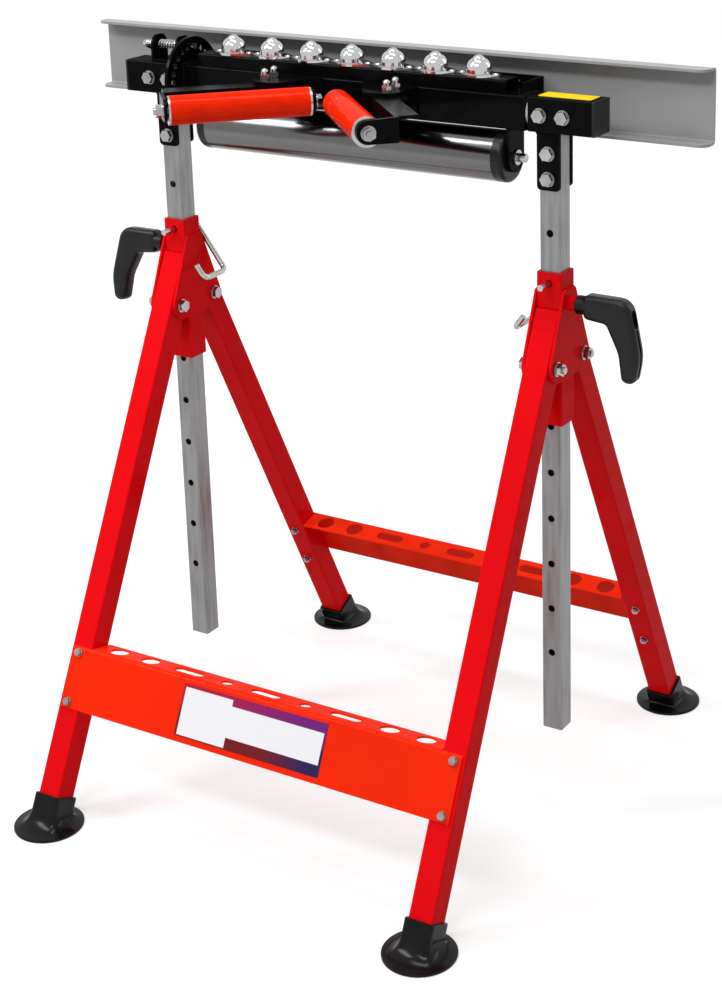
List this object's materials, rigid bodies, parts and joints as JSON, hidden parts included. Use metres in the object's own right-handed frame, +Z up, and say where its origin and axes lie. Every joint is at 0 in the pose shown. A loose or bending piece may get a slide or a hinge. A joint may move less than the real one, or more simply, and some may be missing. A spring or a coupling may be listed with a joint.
{
  "type": "material support stand",
  "caption": "Folding trestle stand with a height-adjustable, turnable head that offers ball transfers, angled V rollers, a long steel roller or a flat rest to support long workpieces.",
  "frame": {"origin": "on the floor, midway between the four feet", "axes": "+Z up, X along the head, -Y the front with the V rollers"},
  "size_m": [0.832, 0.715, 0.91],
  "materials": {
    "red_paint": "gloss",
    "orange_red_paint": "gloss",
    "black_paint": "satin",
    "grey_paint": "satin",
    "galvanised": "satin",
    "zinc": "satin",
    "bright_steel": "satin",
    "satin_steel": "satin",
    "chrome": "polished",
    "orange_coat": "gloss",
    "black_plastic": "matte",
    "white_nylon": "matte",
    "foot_rubber": "satin"
  },
  "bodies": {
    "frame": {"left_sleeve": "red_paint", "right_sleeve": "red_paint", "leg_pivot_bolts": "zinc"},
    "front_legs": {"front_left_leg": "red_paint", "front_right_leg": "red_paint", "front_crossbar": "orange_red_paint", "front_crossbar_screws": "zinc", "front_left_foot": "foot_rubber", "front_right_foot": "foot_rubber"},
    "rear_legs": {"rear_left_leg": "red_paint", "rear_right_leg": "red_paint", "rear_crossbar": "orange_red_paint", "rear_crossbar_screws": "zinc", "rear_left_foot": "foot_rubber", "rear_right_foot": "foot_rubber"},
    "carriage": {"left_post": "galvanised", "right_post": "galvanised", "left_head_mount": "black_paint", "right_head_mount": "black_paint", "stub_end_caps": "black_plastic", "head_mount_bolts": "zinc", "head_axles": "bright_steel", "pivot_washers": "white_nylon", "plunger_bracket": "black_paint", "plunger_spring": "bright_steel"},
    "plunger": {"plunger_pin": "bright_steel"},
    "head": {"index_disc": "black_paint", "head_tube": "black_paint", "ball_channel": "black_paint", "ball_cups": "chrome", "v_mounts": "black_paint", "left_v_cradle": "black_paint", "right_v_cradle": "black_paint", "v_clamp_bolts": "zinc", "left_v_axle": "zinc", "right_v_axle": "zinc", "roller_axle": "bright_steel", "flat_rest": "grey_paint", "rest_brackets": "black_paint", "rest_bolts": "zinc"},
    "left_v_roller_body": {"left_v_roller": "orange_coat", "left_v_roller_caps": "bright_steel"},
    "right_v_roller_body": {"right_v_roller": "orange_coat", "right_v_roller_caps": "bright_steel"},
    "steel_roller_body": {"steel_roller": "satin_steel", "steel_roller_caps": "black_plastic"},
    "left_clamp": {"left_clamp_lever": "black_plastic", "left_clamp_screw": "bright_steel"},
    "right_clamp": {"right_clamp_lever": "black_plastic", "right_clamp_screw": "bright_steel"},
    "left_pin": {"left_lock_pin": "bright_steel"},
    "right_pin": {"right_lock_pin": "bright_steel"},
    "ball_1_body": {"ball_1": "chrome"},
    "ball_2_body": {"ball_2": "chrome"},
    "ball_3_body": {"ball_3": "chrome"},
    "ball_4_body": {"ball_4": "chrome"},
    "ball_5_body": {"ball_5": "chrome"},
    "ball_6_body": {"ball_6": "chrome"},
    "ball_7_body": {"ball_7": "chrome"}
  },
  "joints": [
    {"name": "front_legs_fold", "type": "hinge", "parent": "frame", "child": "front_legs", "pos_m": [0, -0.033, 0.575], "axis": [1, 0, 0], "range_deg": [0, 22]},
    {"name": "rear_legs_fold", "type": "hinge", "parent": "frame", "child": "rear_legs", "pos_m": [0, 0.033, 0.575], "axis": [1, 0, 0], "range_deg": [-22, 0]},
    {"name": "height_slide", "type": "slide", "parent": "frame", "child": "carriage", "axis": [0, 0, 1], "range_m": [-0.056, 0.28]},
    {"name": "head_turn", "type": "hinge", "parent": "carriage", "child": "head", "pos_m": [0, 0, 0.8535], "axis": [1, 0, 0], "range_deg": [0, 180]},
    {"name": "plunger_slide", "type": "slide", "parent": "carriage", "child": "plunger", "axis": [-1, 0, 0], "range_m": [0, 0.014], "stiffness_N_per_m": 800, "springref_m": -0.01, "deforming": ["plunger_spring"]},
    {"name": "left_v_roller_spin", "type": "hinge", "parent": "head", "child": "left_v_roller_body", "pos_m": [-0.018, -0.059, 0.8535], "axis": [-0.7071, -0.7071, 0], "continuous": true},
    {"name": "right_v_roller_spin", "type": "hinge", "parent": "head", "child": "right_v_roller_body", "pos_m": [0.018, -0.059, 0.8535], "axis": [0.7071, -0.7071, 0], "continuous": true},
    {"name": "steel_roller_spin", "type": "hinge", "parent": "head", "child": "steel_roller_body", "pos_m": [0, 0, 0.8], "axis": [1, 0, 0], "continuous": true},
    {"name": "left_clamp_turn", "type": "hinge", "parent": "frame", "child": "left_clamp", "pos_m": [-0.297, 0, 0.642], "axis": [1, 0, 0], "range_deg": [-150, 150]},
    {"name": "right_clamp_turn", "type": "hinge", "parent": "frame", "child": "right_clamp", "pos_m": [0.297, 0, 0.642], "axis": [1, 0, 0], "range_deg": [-150, 150]},
    {"name": "left_pin_slide", "type": "slide", "parent": "frame", "child": "left_pin", "axis": [0, 1, 0], "range_m": [0, 0.05]},
    {"name": "right_pin_slide", "type": "slide", "parent": "frame", "child": "right_pin", "axis": [0, 1, 0], "range_m": [0, 0.05]},
    {"name": "ball_1_roll", "type": "hinge", "parent": "head", "child": "ball_1_body", "pos_m": [-0.1665, 0, 0.902], "axis": [1, 0, 0], "continuous": true},
    {"name": "ball_2_roll", "type": "hinge", "parent": "head", "child": "ball_2_body", "pos_m": [-0.111, 0, 0.902], "axis": [1, 0, 0], "continuous": true},
    {"name": "ball_3_roll", "type": "hinge", "parent": "head", "child": "ball_3_body", "pos_m": [-0.0555, 0, 0.902], "axis": [1, 0, 0], "continuous": true},
    {"name": "ball_4_roll", "type": "hinge", "parent": "head", "child": "ball_4_body", "pos_m": [0, 0, 0.902], "axis": [1, 0, 0], "continuous": true},
    {"name": "ball_5_roll", "type": "hinge", "parent": "head", "child": "ball_5_body", "pos_m": [0.0555, 0, 0.902], "axis": [1, 0, 0], "continuous": true},
    {"name": "ball_6_roll", "type": "hinge", "parent": "head", "child": "ball_6_body", "pos_m": [0.111, 0, 0.902], "axis": [1, 0, 0], "continuous": true},
    {"name": "ball_7_roll", "type": "hinge", "parent": "head", "child": "ball_7_body", "pos_m": [0.1665, 0, 0.902], "axis": [1, 0, 0], "continuous": true}
  ]
}
